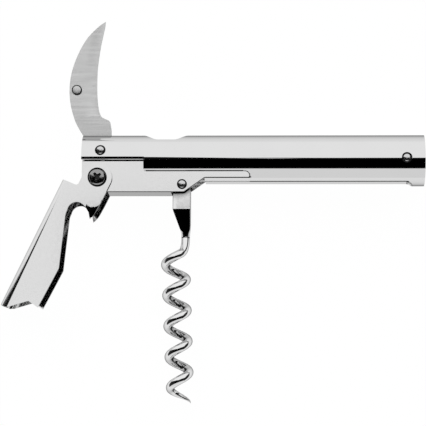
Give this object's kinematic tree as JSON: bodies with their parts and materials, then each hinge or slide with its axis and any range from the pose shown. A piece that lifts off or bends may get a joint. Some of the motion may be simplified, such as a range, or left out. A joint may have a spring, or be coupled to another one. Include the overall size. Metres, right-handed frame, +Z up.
{
  "type": "waiters corkscrew",
  "caption": "Folding waiters corkscrew with a round slotted tube handle, curved foil blade, pointed wire worm and one channel-shaped bottle lever with a cap lifter.",
  "frame": {"origin": "centre of the opened tool's outline, on the surface that it lies on", "axes": "+X along the handle towards its closed end, +Y the way the open blade stands, +Z up across the tool and along every hinge line"},
  "size_m": [0.14, 0.1282, 0.017],
  "materials": {
    "tube_chrome": "mirror polished plate",
    "plate_chrome": "mirror polished plate",
    "lever_chrome": "mirror polished plate, rounded folds",
    "worm_chrome": "polished wire",
    "blade_steel": "satin ground steel",
    "pin_steel": "polished domed rivets",
    "screw_steel": "polished screw",
    "spacer_steel": "turned steel",
    "spring_steel": "spring steel",
    "shim_brass": "rolled brass shim"
  },
  "bodies": {
    "handle": {"handle_tube": "tube_chrome", "end_plug": "tube_chrome", "plug_pin": "pin_steel", "front_side_plate": "plate_chrome", "rear_side_plate": "plate_chrome", "blade_pin": "pin_steel", "blade_spacers": "spacer_steel", "blade_spring_washers": "spring_steel", "worm_pin": "pin_steel", "worm_spacers": "spacer_steel", "worm_spring_washers": "spring_steel", "lever_post": "screw_steel", "lever_screw": "screw_steel", "lever_shims": "shim_brass", "frame_spacer": "spacer_steel", "frame_web": "plate_chrome", "blade_stop_pin": "spacer_steel"},
    "foil_blade": {"blade": "blade_steel", "blade_stud": "pin_steel"},
    "corkscrew_worm": {"worm": "worm_chrome"},
    "bottle_lever": {"lever": "lever_chrome"}
  },
  "joints": [
    {"name": "blade_hinge", "type": "hinge", "parent": "handle", "child": "foil_blade", "pos_m": [-0.0375, 0.0199, 0.0085], "axis": [0, 0, 1], "range_deg": [-97, 60]},
    {"name": "worm_hinge", "type": "hinge", "parent": "handle", "child": "corkscrew_worm", "pos_m": [-0.0105, 0.0088, 0.0085], "axis": [0, 0, 1], "range_deg": [0, 90]},
    {"name": "lever_hinge", "type": "hinge", "parent": "handle", "child": "bottle_lever", "pos_m": [-0.0385, 0.011, 0.0085], "axis": [0, 0, 1], "range_deg": [-20, 58]}
  ]
}
